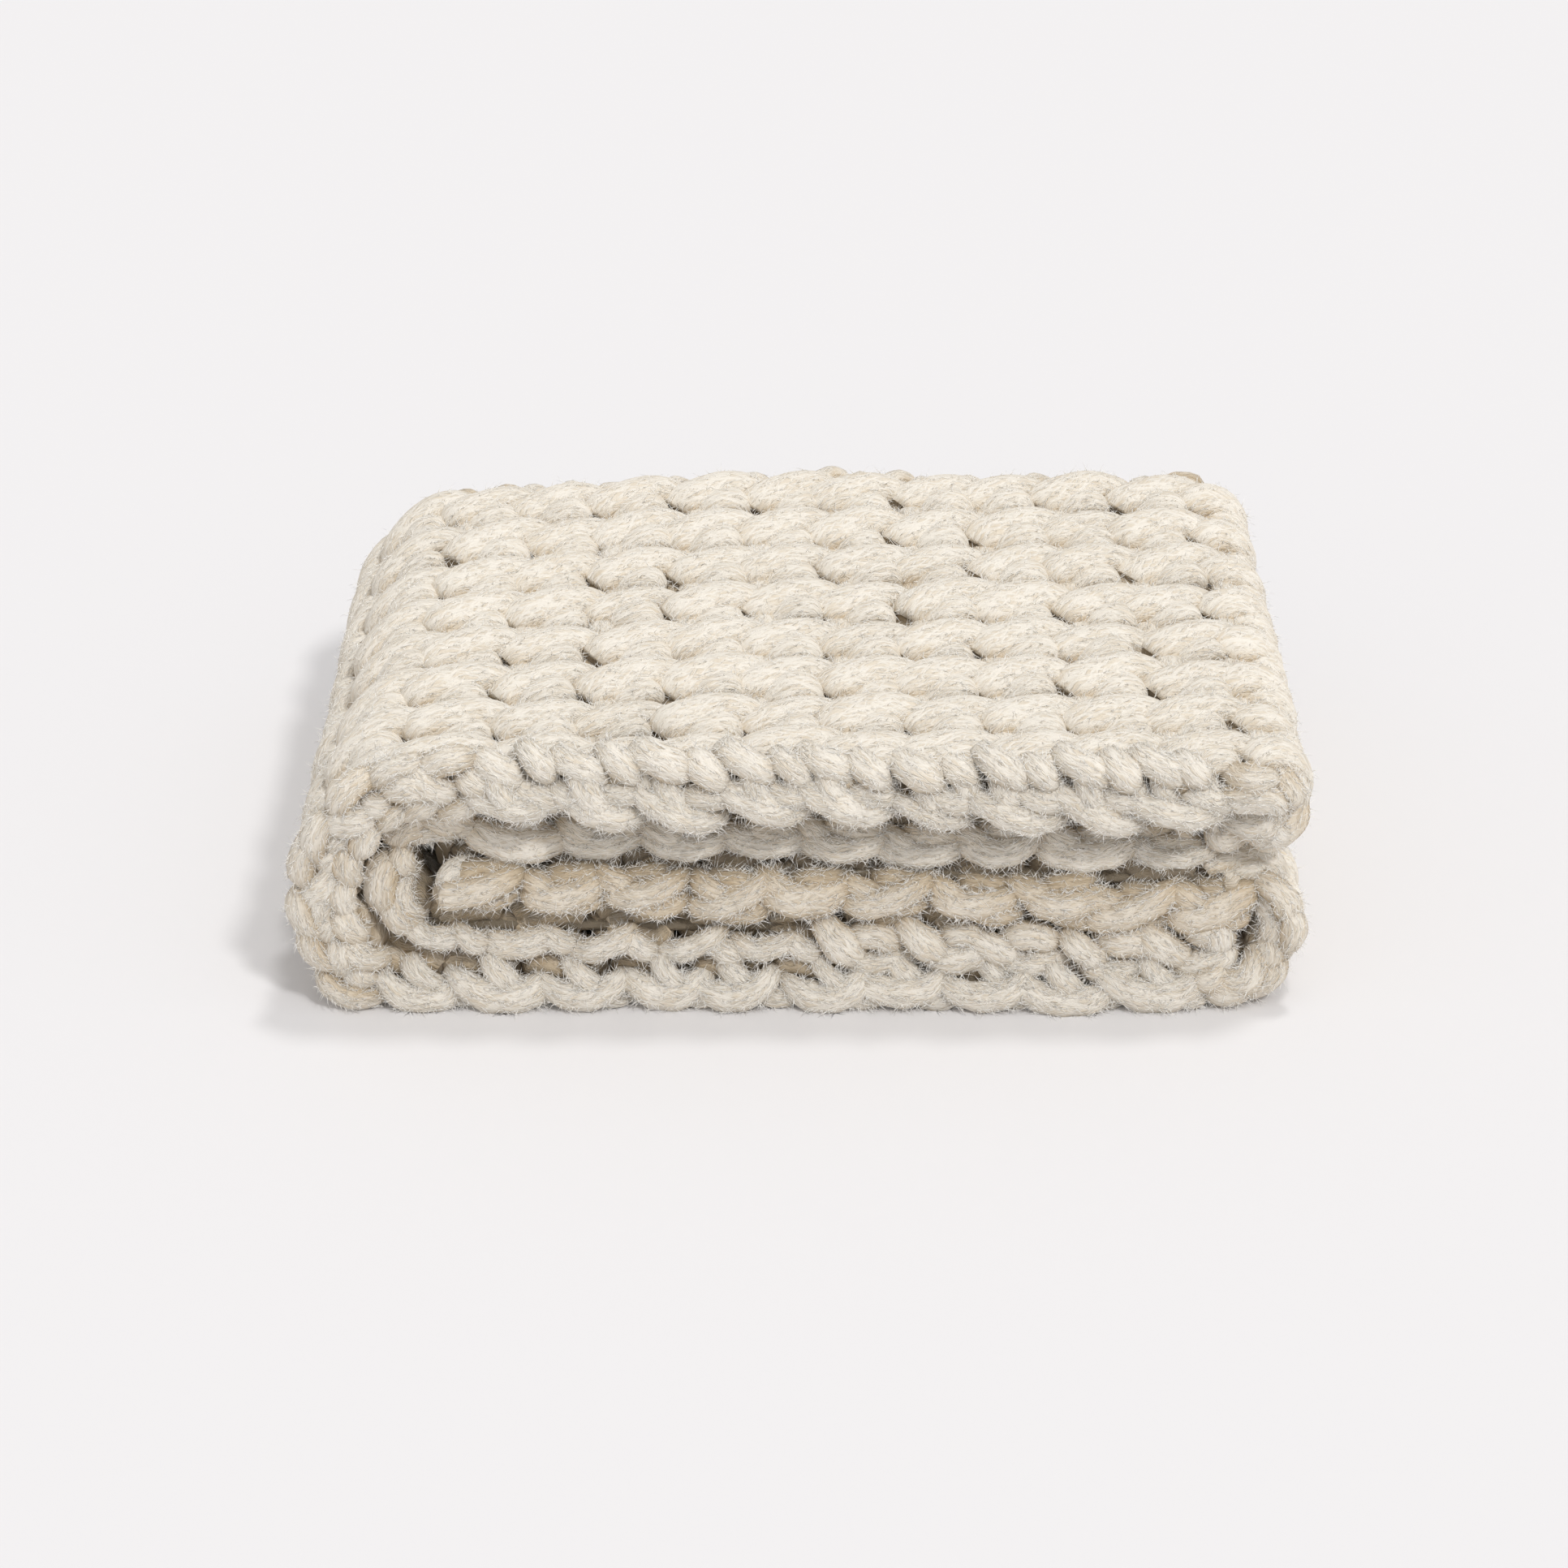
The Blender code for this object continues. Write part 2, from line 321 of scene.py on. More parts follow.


# Lofty brushed wool in a fine net: matt, with a soft bright rim where loose fibres catch the light. Painted
# shade:
# loops that lie deeper are painted warmer and darker, for light that has passed through wool, and holes
# dark.
def brushedWool():
    look = {
        "cream": "#EEE7DB",       # fibres that stand up and catch light
        "shade": "#DBCDB7",       # between the fibres
        "flank": "#E4D6C0",       # painted shade: multiplies the sides of a strand
        "deep": "#8F8270",        # painted shade inside the holes
        "sheen": "#FBF1E0",
        "fibreLength": 10.0,      # mm
        "fibreWidth": 1.0,        # mm, tufts of fibres
        "waver": 6.25,            # mm between bends of the fibres, and how far they bend along and around
        "waverReach": (3.0, 2.0),
        "netCell": (14.0, 2.0),   # mm, the long fine fibres cross each other in a net
        "netLean": 0.30,          # radians to both sides of the yarn's way
        "netEdge": (0.01, 0.09),  # a net line is full up to the first value and gone at the second
        "netShare": 0.33,         # how much the net adds to the fibres
        "brightRange": (0.32, 0.78),   # fibres and net from shade to cream
        "flankRange": (3.4, 12.0),     # mm under the face, from no painted shade to the full flank tint
        "holeRange": (8.4, 17.0),      # mm under the face, from wool to the painted shade of the holes
        "lump": 12.0,             # mm, soft patches that stand out
        "lumpShare": 0.9,
        "relief": 0.0010,         # m, height of fibres and patches
    }
    material = bpy.data.materials.new("brushedWoolYarn")
    material.use_nodes = True
    tree = material.node_tree
    tree.nodes.clear()
    place = addNode(tree, "ShaderNodeUVMap", {"uv_map": "yarnRun"})
    body = addNode(tree, "ShaderNodeTexCoord").outputs["Object"]
    waver = addNode(tree, "ShaderNodeTexNoise", Vector=body, Scale=1000 / look["waver"], Detail=2.0)
    reach = (look["waverReach"][0] / yarnScale, look["waverReach"][1] / yarnScale, 0)
    bend = addNode(tree, "ShaderNodeVectorMath", {"operation": "MULTIPLY_ADD"}, i0=waver.outputs["Color"],
                   i1=reach, i2=place.outputs["UV"])
    fibreScale = (yarnScale / look["fibreLength"], yarnScale / look["fibreWidth"], 1)
    fibrePlace = addNode(tree, "ShaderNodeMapping", Vector=bend.outputs[0], Scale=fibreScale)
    fibre = addNode(tree, "ShaderNodeTexNoise", Vector=fibrePlace.outputs["Vector"], Scale=1.0, Detail=5.0,
                    Roughness=0.64)
    netScale = (yarnScale / look["netCell"][0], yarnScale / look["netCell"][1], 1)
    netLines = []
    for lean in (look["netLean"], -look["netLean"]):
        turned = addNode(tree, "ShaderNodeMapping", Vector=bend.outputs[0], Rotation=(0, 0, lean))
        netPlace = addNode(tree, "ShaderNodeMapping", Vector=turned.outputs["Vector"], Scale=netScale)
        net = addNode(tree, "ShaderNodeTexNoise", Vector=netPlace.outputs["Vector"], Scale=1.0, Detail=1.0)
        middle = addNode(tree, "ShaderNodeMath", {"operation": "SUBTRACT"}, i0=net.outputs["Fac"], i1=0.5)
        aside = addNode(tree, "ShaderNodeMath", {"operation": "ABSOLUTE"}, i0=middle.outputs[0])
        netLines.append(addRange(tree, aside.outputs[0], look["netEdge"], (1.0, 0.0)))
    netLine = addNode(tree, "ShaderNodeMath", {"operation": "MAXIMUM"}, i0=netLines[0], i1=netLines[1])
    bright = addNode(tree, "ShaderNodeMath", {"operation": "MULTIPLY_ADD"}, i0=netLine.outputs[0],
                     i1=look["netShare"], i2=fibre.outputs["Fac"])
    wool = addNode(tree, "ShaderNodeMix", {"data_type": "RGBA"},
                   i0=addRange(tree, bright.outputs[0], look["brightRange"]),
                   i6=linearColour(look["shade"]), i7=linearColour(look["cream"]))
    # Painted shade: the deeper a place counts, the more the flank tint darkens it and the more it turns to
    # the hole colour
    under = addNode(tree, "ShaderNodeUVMap", {"uv_map": "underFace"})
    depth = addNode(tree, "ShaderNodeSeparateXYZ", Vector=under.outputs["UV"]).outputs["X"]
    flank, hole = (addRange(tree, depth, (low / underScale, high / underScale), eased=True)
                   for low, high in (look["flankRange"], look["holeRange"]))
    flankShaded = addNode(tree, "ShaderNodeMix", {"data_type": "RGBA", "blend_type": "MULTIPLY"}, i0=flank,
                   i6=wool.outputs[2], i7=linearColour(look["flank"]))
    dim = addNode(tree, "ShaderNodeMix", {"data_type": "RGBA"}, i0=hole, i6=flankShaded.outputs[2],
                  i7=linearColour(look["deep"]))
    lumps = addNode(tree, "ShaderNodeTexNoise", Vector=body, Scale=1000 / look["lump"], Detail=3.0)
    height = addNode(tree, "ShaderNodeMath", {"operation": "MULTIPLY_ADD"}, i0=lumps.outputs["Fac"],
                     i1=look["lumpShare"], i2=bright.outputs[0])
    bump = addNode(tree, "ShaderNodeBump", Height=height.outputs[0], Strength=1.0, Distance=look["relief"])
    shader = addNode(tree, "ShaderNodeBsdfPrincipled", Normal=bump.outputs["Normal"], Roughness=0.95,
                     IOR=1.5)
    tree.links.new(dim.outputs[2], shader.inputs["Base Color"])
    shader.inputs["Specular IOR Level"].default_value = 0.15
    shader.inputs["Sheen Weight"].default_value = 0.2
    shader.inputs["Sheen Roughness"].default_value = 0.6
    shader.inputs["Sheen Tint"].default_value = linearColour(look["sheen"])
    addNode(tree, "ShaderNodeOutputMaterial", Surface=shader.outputs["BSDF"])
    return material


# A plain matt finish of one colour
def mattFinish(name, colour, specular):
    material = bpy.data.materials.new(name)
    material.use_nodes = True
    shader = material.node_tree.nodes["Principled BSDF"]
    shader.inputs["Base Color"].default_value = linearColour(colour)
    shader.inputs["Roughness"].default_value = 0.9
    shader.inputs["Specular IOR Level"].default_value = specular
    return material


wool = brushedWool()

# Loose fibres: the same wool, painted a little paler for the light that passes through single hairs
looseFibre = mattFinish("looseWoolFibre", "#FBF8F2", 0.2)
print("mixed the wool")


# A smooth run through a shape's places
def smoothRun(shape, points):
    shape = np.array(shape, dtype=float)
    spots = np.linspace(0, len(shape) - 1, points)
    low = np.clip(spots.astype(int), 0, len(shape) - 2)
    share = (spots - low)[:, None]
    before, here = shape[np.maximum(low - 1, 0)], shape[low]
    there, after = shape[low + 1], shape[np.minimum(low + 2, len(shape) - 1)]
    return 0.5 * (2 * here + (there - before) * share
                  + (2 * before - 5 * here + 4 * there - after) * share ** 2
                  + (3 * here - before - 3 * there + after) * share ** 3)


# The knit: garter stitch in thick lofty yarn. A stitch of a ridge has three strands, and each is a short run
# of places: along the strip, from the ridge's front valley to the back, out of the face, and half width, in
# millimetres
knit = {
    "valleys": (15, 44, 77, 115, 153, 192, 231, 273, 315),     # behind the front edge
    "pitch": 36.0,            # the stitches below are drawn for a stitch and a ridge of this width
    "middle": 15,             # the place along a stitch that it turns about
    "first": 5,               # where the first stitch starts
    "endGap": 2,              # how far strands keep from the strip's ends
    "frontGap": 10,           # nothing lies closer to the front edge
    "sunk": 6.4,              # the places lie this far under the face
    "leastOver": 1.0,         # and at least this far from the strip's middle
    "rise": ((1.6, 9.5, -10, 9.0), (2.7, 10.5, -5, 11.0), (5.5, 12, -0.6, 12.4), (11.5, 14.5, 1.0, 12.6),
             (19.5, 18.2, 1.9, 12.0), (27.5, 21.5, 2.2, 11.2), (35, 23.6, 1.3, 10.2), (42, 23.5, -1.0, 9.0),
             (49, 22, -5.5, 7.4)),
    "lobe": ((9, 1.5, -9, 5.0), (15, 3.6, -2.2, 7.8), (22, 5.6, 1.1, 9.6), (28, 7.0, 1.8, 9.6),
             (31.5, 7.4, 1.0, 9.0), (33.9, 7.6, -3.0, 7.8), (34.6, 7.6, -10, 6.0)),
    "leg": ((9, 12, -7, 5.0), (10, 5, -3.5, 6.4), (10, -2, -2.5, 6.8), (9, -9, -4.0, 6.6),
            (8, -17, -9, 5.0)),
    "thinner": 0.45,          # share of the width that follows the ridge's width
    "flatness": 0.60,         # a strand's depth against its width
    "mostDepth": 7.4,
    "points": {"rise": (20, 8), "lobe": (14, 6), "leg": (10, 4)},      # along a strand: seen, hidden
    "sides": (12, 7),
    # spread of a stitch's shifts, of each strand's own shifts, of its width (share), height and turn
    "spread": {"along": 1.8, "across": 1.2, "strand": 0.6, "leg": 1.8,
               "fat": 0.08, "lift": 0.7, "tilt": 0.06},
    "faceLevel": 2.6,         # a place this far out has the face's own colour, without painted shade
    # hidden stitches: depth of painted shade at the front and back edge, in mm, and share of the true depth
    # elsewhere
    "hidden": {"dark": 12.0, "pale": 7.5, "inside": 0.4},
    # parts whose hidden edge stitches get the dark painted shade of the gaps between layers
    "darkParts": ("third", "fourth", "inner left"),
    "patternStep": (83.0, 17.0),       # mm of pattern from one stitch and one ridge to the next
    "fibres": 5.6,            # roots of loose fibres for each mm of strand
    "seed": 4000,             # each stitch draws its own shifts
}


# One stitch of a ridge on side A (face 1) or side B (face -1)
def layStitch(yarn, stitch, ridge, face, seen):
    valleys, spread, middle = knit["valleys"], knit["spread"], knit["middle"]
    detail = 0 if seen else 1
    front = valleys[ridge]
    deep = (valleys[ridge + 1] - front) / knit["pitch"]
    chance = np.random.default_rng(knit["seed"] + stitch * 37 + ridge * 7 + (face > 0))
    shiftAlong, shiftAcross = chance.normal(0, spread["along"]), chance.normal(0, spread["across"])
    for kind in ("rise", "lobe", "leg"):
        if kind == "leg" and not seen:
            continue
        run = smoothRun(knit[kind], knit["points"][kind][detail])
        fat = 1 + chance.normal(0, spread["fat"])
        lift = chance.normal(0, spread["lift"])
        tilt = chance.normal(0, spread["tilt"])
        shifted = run[:, 0] + shiftAlong + chance.normal(0, spread["strand"])
        along = stitch * stitchWidth + shifted * stitchWidth / knit["pitch"] + knit["first"]
        if kind == "leg":
            along = along + chance.normal(0, spread["leg"])
        along = np.clip(along, knit["endGap"], stripLength - knit["endGap"])
        across = run[:, 1] + (run[:, 0] - middle) * tilt
        across = -strip["depth"] / 2 + front + across * deep + shiftAcross
        across = np.maximum(across, knit["frontGap"] - strip["depth"] / 2)
        thick = lineAt(along, "thick")[0]
        over = face * np.maximum(thick / 2 - knit["sunk"] + run[:, 2] + lift, knit["leastOver"])
        width = run[:, 3] * fat * (1 - knit["thinner"] + knit["thinner"] * deep)
        depth = np.minimum(width * knit["flatness"], knit["mostDepth"])
        # Painted shade: a stitch counts as deep as it lies under the face, and hidden ones at the edges as
        # dark or pale
        sunk = -(run[:, 2] - knit["faceLevel"] + lift)
        if not seen and ridge in (0, len(valleys) - 2):
            tone = "dark" if partAt(stitch) in knit["darkParts"] else "pale"
            sunk = np.full_like(sunk, knit["hidden"][tone])
        elif not seen:
            sunk = sunk * knit["hidden"]["inside"]
        stitchStep, ridgeStep = knit["patternStep"]
        yarn.addTube(onStrip(along, across, over), outward(along, across, over) * face, width, depth,
                     knit["sides"][detail], start=stitch * stitchStep + ridge * ridgeStep, sunk=sunk)


knitPieces = []
yarns = {"ridgesSeen": YarnMesh(knit["fibres"]), "ridgesUnder": YarnMesh(), "ridgesInside": YarnMesh()}
for stitch in range(strip["stitches"]):
    around = [min(max(stitch + step, 0), strip["stitches"] - 1) for step in (-1, 0, 1)]
    seen = any(partAt(neighbour) in strip["outside"] for neighbour in around)
    for ridge in range(len(knit["valleys"]) - 1):
        layStitch(yarns["ridgesSeen" if seen else "ridgesUnder"], stitch, ridge, 1, seen)
        layStitch(yarns["ridgesInside"], stitch, ridge, -1, False)
for name, yarn in yarns.items():
    knitPieces.append(yarn.toObject(name, wool))
print("laid", strip["stitches"], "stitches on", len(knit["valleys"]) - 1, "ridges,",
      [len(piece.data.polygons) for piece in knitPieces], "faces")


# The long edges: strands of each stitch seen from the front. Places are along the edge, up from the layer's
# middle, out from the edge, and half width, in millimetres
edging = {
    "top": (
        ((-3, 11.5, -20, 5.4), (1, 11.5, -13.5, 6.8), (6, 10.2, -9.8, 7.3), (11, 7.8, -8.6, 6.9),
         (14.5, 4.8, -10, 5.8), (16, 3, -13.5, 4.4)),
        ((18, 11, -18, 5.0), (21, 10.5, -12, 6.3), (25, 8.0, -9, 6.8), (28.5, 4.5, -9, 6.2),
         (30, 1.5, -12.5, 4.8)),
        ((7, 8, -15, 4.8), (8, 4, -9.5, 5.6), (9.5, 0, -7, 6.2), (13, -5, -6.5, 6.0), (18, -9, -9, 4.8),
         (21, -10, -12, 4.0)),
        ((-8, -2, -14, 3.8), (-4, -3.5, -9, 5.4), (3, -6, -6.5, 6.6), (12, -9.5, -5, 7.2),
         (21, -12, -5.5, 6.8), (29, -12.5, -8.5, 5.2), (33, -12, -13, 3.8)),
        ((13, -1, -14, 4.0), (18, -2.5, -9, 5.2), (25, -4, -7.5, 5.8), (31, -5, -8, 5.2),
         (36, -5.5, -13, 3.8)),
        ((29, 6, -15, 4.0), (30, 1.5, -10, 4.8), (32, -3, -9.5, 5.0), (35, -7, -13, 4.0)),
    ),
    "fourth": (
        ((-7, 5, -17, 4.0), (-1, 4, -11, 5.2), (6, 1.5, -8.5, 5.8), (13, -1, -12, 4.4)),
        ((-5, 0, -16, 4.2), (0, -1.5, -10, 5.6), (8, -3.0, -7.5, 6.4), (17, -3.0, -7, 6.4),
         (26, -1, -8, 6.0), (33, 1, -11, 5.0), (37, 2, -16, 3.8)),
        ((7, 3, -16, 4.2), (13, 4.5, -11, 5.4), (21, 4.5, -10.5, 5.6), (28, 3, -12, 5.0),
         (32, 1.5, -16, 4.0)),
    ),
    "third": (
        ((-8, 5, -17, 4.2), (-4, 4.5, -10, 5.6), (2, 2.5, -7, 6.4), (9, -1, -8, 5.6), (14, -4, -13, 4.2)),
        ((-4, -3, -14, 4.6), (1, -5.0, -7.5, 6.4), (8, -5, -5.5, 7.2), (16, -3, -5.5, 7.2),
         (24, 0.5, -6.5, 6.8), (30, 3.0, -9.5, 5.8), (35, 4, -16, 4.2)),
        ((7, -6, -15, 4.2), (13, -8.0, -9, 5.4), (21, -8.5, -8, 5.8), (28, -7, -9, 5.2),
         (33, -5, -15, 4.2)),
        ((6, 2, -16, 4.2), (11, 4.0, -10.5, 5.4), (18, 4.6, -9.5, 5.8), (25, 4.0, -10, 5.4),
         (30, 2, -15, 4.2)),
    ),
    "second": (
        ((-4, 1, -14, 4.2), (1, 0, -8.5, 5.4), (8, -0.8, -7, 6.0), (16, 0.5, -7, 6.0), (22, 2, -8.5, 5.4),
         (26, 2.5, -14, 4.2)),
        ((19, 4, -14, 3.8), (23, 2.5, -8.5, 5.0), (28, -0.5, -7, 5.6), (32, -2.0, -8.5, 5.0),
         (34, -3, -14, 4.0)),
    ),
    "second right": (
        ((-6, 8, -15, 4.5), (-2, 5.5, -8.5, 6.2), (4, 1, -7, 7.2), (10, -3.5, -8.5, 6.2),
         (13, -6, -13, 4.5)),
        ((9, 2, -14, 4.5), (14, 5, -9, 6.4), (22, 5.5, -8.5, 7.0), (28, 3, -9.5, 6.0), (33, 0, -14, 4.5)),
        ((4, -7, -14, 4.5), (10, -9.5, -8, 6.2), (18, -9, -6.5, 6.8), (26, -6.5, -7, 6.6),
         (33, -4.5, -9, 5.6), (37, -3, -14, 4.0)),
    ),
    "bottom": (
        ((-9, 4, -15, 3.5), (-5, 2.5, -9.5, 4.8), (1, -0.5, -7, 6.2), (9, -3.5, -6.5, 7.2),
         (17, -4.2, -6.5, 7.4), (25, -3, -7, 6.8), (31, 0, -9.5, 5.6), (34, 2, -15, 4.2)),
        ((10, 10, -16, 4.5), (12, 7.5, -10.5, 5.2), (16, 4, -8, 5.2), (20, 0.5, -9, 4.8),
         (22, -2, -13, 4.0)),
        ((22, -5, -14, 4.0), (27, -6, -9.5, 4.8), (33, -5.5, -9, 4.8), (38, -5, -14, 3.8)),
    ),
    "big left": (
        ((-8, 2, -16, 4.5), (-4, 6, -10, 6.0), (2, 9.5, -8, 7.0), (9, 11, -8.5, 6.4), (13, 10, -14, 4.5)),
        ((6, 9, -14, 4.5), (10, 5, -8.5, 6.2), (15, 0.5, -7, 6.8), (21, -2.5, -8.5, 6.0),
         (25, -4, -13, 4.5)),
        ((14, 4, -16, 4.5), (18, 8, -10, 6.0), (24, 11, -8.5, 6.6), (31, 11, -10, 5.8), (35, 9, -15, 4.5)),
        ((-6, 1, -15, 4.5), (-1, 1.5, -9, 5.8), (6, 1, -8, 6.4), (11, -1.5, -9, 5.8), (14, -4, -14, 4.2)),
        ((0, -12, -15, 4.5), (5, -10.5, -9.5, 5.8), (12, -8, -8, 6.8), (19, -6.5, -9.5, 6.0),
         (23, -6, -14, 4.2)),
        ((18, -13, -15, 4.5), (23, -11.5, -10, 5.8), (29, -9, -8.5, 6.6), (35, -7, -10, 5.8),
         (39, -5, -15, 4.2)),
        ((24, 3, -15, 4.5), (28, 2, -9, 6.0), (33, -0.5, -8, 6.2), (37, -3, -14, 4.5)),
    ),
    "right fold": (
        ((-8, 2, -17, 4.5), (-4, 4.0, -11, 6.2), (2, 5, -9, 7.4), (9, 4.2, -10, 6.8), (13, 2, -15, 4.5)),
        ((9, 2, -17, 4.5), (13, 4.5, -11, 6.2), (19, 5.2, -8.5, 7.4), (26, 4.2, -10, 6.8),
         (30, 2, -15, 4.5)),
        ((-3, -5, -15, 4.5), (3, -3, -10, 6.0), (11, -1.5, -8.5, 6.8), (19, -2.5, -9.5, 6.2),
         (25, -5, -14, 4.5)),
        ((20, -6, -16, 4.5), (25, -4, -11, 5.8), (31, -2.5, -9.5, 6.0), (37, -3, -15, 4.5)),
    ),
    "end loop": ((2, -7, -17, 4.5), (-1, -5.5, -10.5, 6.0), (-2, -1, -8, 7.0), (-1, 4, -9, 6.6),
                 (3, 6.5, -11, 5.8), (8, 6, -16, 4.5)),
    "borrowed": {"lower right": "right fold", "inner left": "right fold", "upper right": "top"},
    "rightPart": -10,         # the second layer's right part starts here
    "leftward": ("bottom", "fourth", "inner left"),    # the strip runs to the left here
    # how far the strands hang below the layer's middle, at the left and the right
    "hang": {"top": (-2.5, 1.0), "fourth": (7.5, 11.0), "third": (2.5, 8.0), "second": (6.0, 8.5),
             "bottom": (0.5, 0.5)},
    "hangSpan": (-170, 190),
    "backLower": 7.5,         # the back edge of the top layer and the big fold lies lower
    "backTopUp": 4.0,         # and stands up no further than this
    "foldUp": (-5.5, 3.5),    # room for the strands of the upper right fold
    # spread of a stitch's shifts, of each strand's own, of its length, width and height (shares) and turn
    "spread": {"along": 1.6, "up": 0.9, "strand": 1.2, "lift": 0.7, "out": 0.9,
               "long": 0.08, "fat": 0.09, "high": 0.10, "turn": 0.10},
    "ripple": (0.05, 0.55),   # a strand's width swells by this share, this many radians for each mm
    "faceOut": 7,             # a place this far behind the edge has the face's own colour, without painted shade
    "dim": {"top": 0.5, "fourth": 2.5, "third": 7.5, "second": 3.5, "bottom": -2.0},   # painted shade: mm that a layer's strands count deeper than they lie, darker where a layer lies back, paler on the bottom
    "mostDim": 13,            # most painted shade in mm at a layer's middle, and how much less for each mm from it
    "dimFall": {"top": 1.2, "bottom": 0.7},
    "foldDim": (3.0, 7.0),    # painted shade: mm deeper on a fold, and the most there
    "lean": {"top": 0.9, "layer": 0.2, "fold": 0.8},   # of a strand's broad side, up out of the edge
    "foldLeanAt": 8,          # mm from a fold's middle where its lean is full
    "flatness": 0.82,
    "endGap": 3,              # mm that the strands keep from the strip's ends
    # the loop at each free end: mm from the end, mm lower, lean, depth of its painted shade and start of the
    # pattern
    "endLoops": {"seat": 7.0, "drop": 4, "lean": 0.2, "sunk": 1.0, "pattern": 7000.0},
    "patternStep": (91.0, 9),      # mm of pattern from one stitch to the next, and for each mm along it
    "detail": {-1: (20, 12), 1: (14, 9)},     # points along and around a strand: front edge, back edge
    "fibres": 14.0,           # roots of loose fibres for each mm of strand
    "seed": {-1: 9000, 1: 14000},
}


# How far under the face an edge's strand counts for its painted shade, in millimetres
def edgeDepth(name, run):
    sunk = -run[:, 2] - edging["faceOut"] + edging["dim"].get(name, 0)
    if name in edging["dimFall"]:
        sunk = np.minimum(sunk, edging["mostDim"] - np.abs(run[:, 1]) * edging["dimFall"][name])
    if name in strip["folds"]:
        deeper, most = edging["foldDim"]
        sunk = np.minimum(sunk + deeper, most)
    return sunk


# How far an edge's strand turns its broad side from the front towards the layer's face
def edgeLean(name, way, up):
    if name in strip["folds"]:
        return edging["lean"]["fold"] * np.clip(up / edging["foldLeanAt"], -1, 1)
    return edging["lean"]["top"] if name == "top" else edging["lean"]["layer"] * way


# Lays the strands of the front edge (-1) or the back edge (1), stitch by stitch
def edgeStitches(yarn, edge):
    points = edging["detail"][edge][0]
    spread, endGap = edging["spread"], edging["endGap"]
    for stitch in range(strip["stitches"]):
        name = partAt(stitch)
        middle = (stitch + 0.5) * stitchWidth
        x = lineAt(middle, "x")[0]
        style = edging["borrowed"].get(name, name)
        if name == "second" and x > edging["rightPart"]:
            style = "second right"
        way = -1 if name in edging["leftward"] else 1
        hang = np.interp(x, edging["hangSpan"], edging["hang"][name]) if name in edging["hang"] else 0.0
        if edge > 0 and name in ("top", "big left"):
            hang += edging["backLower"]
        chance = np.random.default_rng(edging["seed"][edge] + stitch * 11)
        shift, drop = chance.normal(0, spread["along"]), chance.normal(0, spread["up"])
        for shape in edging[style]:
            run = smoothRun(shape, points)
            stretch, turn = 1 + chance.normal(0, spread["long"]), chance.normal(0, spread["turn"])
            fromMiddle = (run[:, 0] - knit["middle"]) * stitchWidth / knit["pitch"] * stretch
            along = middle + way * (fromMiddle + shift + chance.normal(0, spread["strand"]))
            if np.mean((along < endGap) | (along > stripLength - endGap)) > 0.5:
                continue
            along = np.clip(along, endGap, stripLength - endGap)
            up = run[:, 1] * (1 + chance.normal(0, spread["high"])) + (run[:, 0] - run[:, 0].mean()) * turn
            up = way * (up - hang + drop + chance.normal(0, spread["lift"]))
            if name == "upper right":
                up = np.clip(up, *edging["foldUp"])
            if name == "top" and edge > 0:
                up = np.minimum(up, edging["backTopUp"])
            out = run[:, 2] + chance.normal(0, spread["out"])
            width = run[:, 3] * (1 + chance.normal(0, spread["fat"]))
            swell, pace = edging["ripple"]
            width = width * (1 + swell * np.sin(run[:, 0] * pace + chance.uniform(0, 6)))
            stitchStep, shapeStep = edging["patternStep"]
            edgeStrand(yarn, edge, along, up, out, width, edgeLean(name, way, up), edgeDepth(name, run),
                       stitch * stitchStep + shape[0][0] * shapeStep)
    loops = edging["endLoops"]
    for seat, way in ((loops["seat"], 1), (stripLength - loops["seat"], -1)):
        run = smoothRun(edging["end loop"], points)
        edgeStrand(yarn, edge, seat + way * run[:, 0], run[:, 1] - loops["drop"], run[:, 2], run[:, 3],
                   loops["lean"], loops["sunk"], loops["pattern"] + seat)


# One strand of an edge from its places: along the strip, up from its middle and out from its edge
def edgeStrand(yarn, edge, along, up, out, width, lean, sunk, start):
    x, z, nx, nz, push = lineAt(along, "x", "z", "nx", "nz", "push")
    y = edge * (strip["depth"] / 2 + out) - push * (0.5 - edge / 2)
    centre = np.stack([x + nx * up, y, (z + nz * up) * loftAt(x, edge * strip["depth"] / 2)], axis=-1)
    outside = np.stack([nx * lean, np.full_like(x, edge), nz * lean], axis=-1)
    yarn.addTube(centre, outside, width, width * edging["flatness"], edging["detail"][edge][1], start=start,
                 sunk=sunk)


edgeYarns = {"frontEdge": YarnMesh(edging["fibres"]), "backEdge": YarnMesh()}
edgeStitches(edgeYarns["frontEdge"], -1)
edgeStitches(edgeYarns["backEdge"], 1)
for name, yarn in edgeYarns.items():
    knitPieces.append(yarn.toObject(name, wool))
print("laid both edges,", [len(piece.data.polygons) for piece in knitPieces[-2:]], "faces")

# The two free ends: a plain rope of yarn across the strip
rope = {
    "seat": 4.0,              # mm from the strip's end
    "inset": 34,              # and from its long edges
    "points": 90,
    "sides": 12,
    "half": (8.5, 9.0),       # half width and half depth
    "twist": (1.6, 1.2),      # how far it winds along the strip and over it
    "twistRun": 5.7,          # mm of its length for each radian
    "swell": 0.06,            # share that it gets thicker and thinner
    # depth of the rope's painted shade, in mm
    "sunk": 7,
    "pattern": 5000.0,
    "fibres": 4.0,
}


